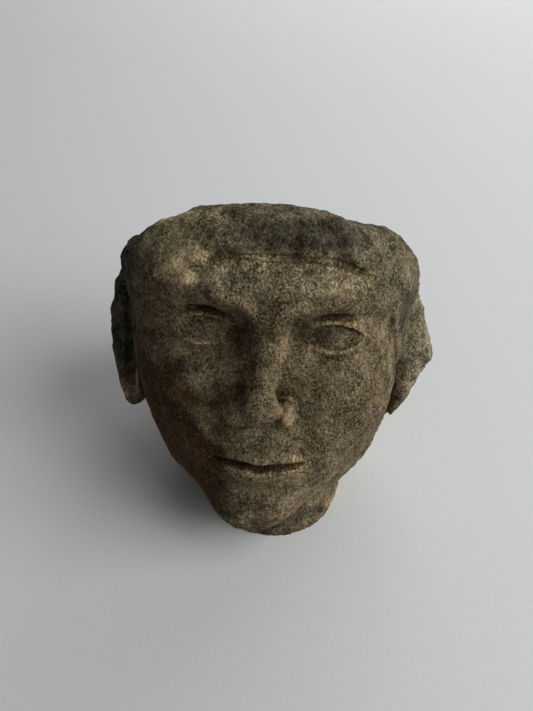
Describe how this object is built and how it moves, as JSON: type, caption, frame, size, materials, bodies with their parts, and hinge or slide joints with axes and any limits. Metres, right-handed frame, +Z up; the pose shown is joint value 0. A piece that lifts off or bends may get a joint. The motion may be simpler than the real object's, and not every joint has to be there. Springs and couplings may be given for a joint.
{
  "type": "carved stone head",
  "caption": "Weathered carved stone head fragment with a close hair cap and worn ears, broken flat at the neck and worn across the top.",
  "frame": {"origin": "middle of the overall box, on the surface that the head stands on", "axes": "+Z up as the head stands on its flat neck break, -Y the way the face looks, tipped up from level, +X towards the head's own left ear"},
  "size_m": [0.148, 0.1326, 0.1318],
  "materials": {
    "stone": "matte weathered stone, dark brown-grey with ochre recesses"
  },
  "bodies": {
    "root": {"head": "stone"}
  },
  "joints": []
}
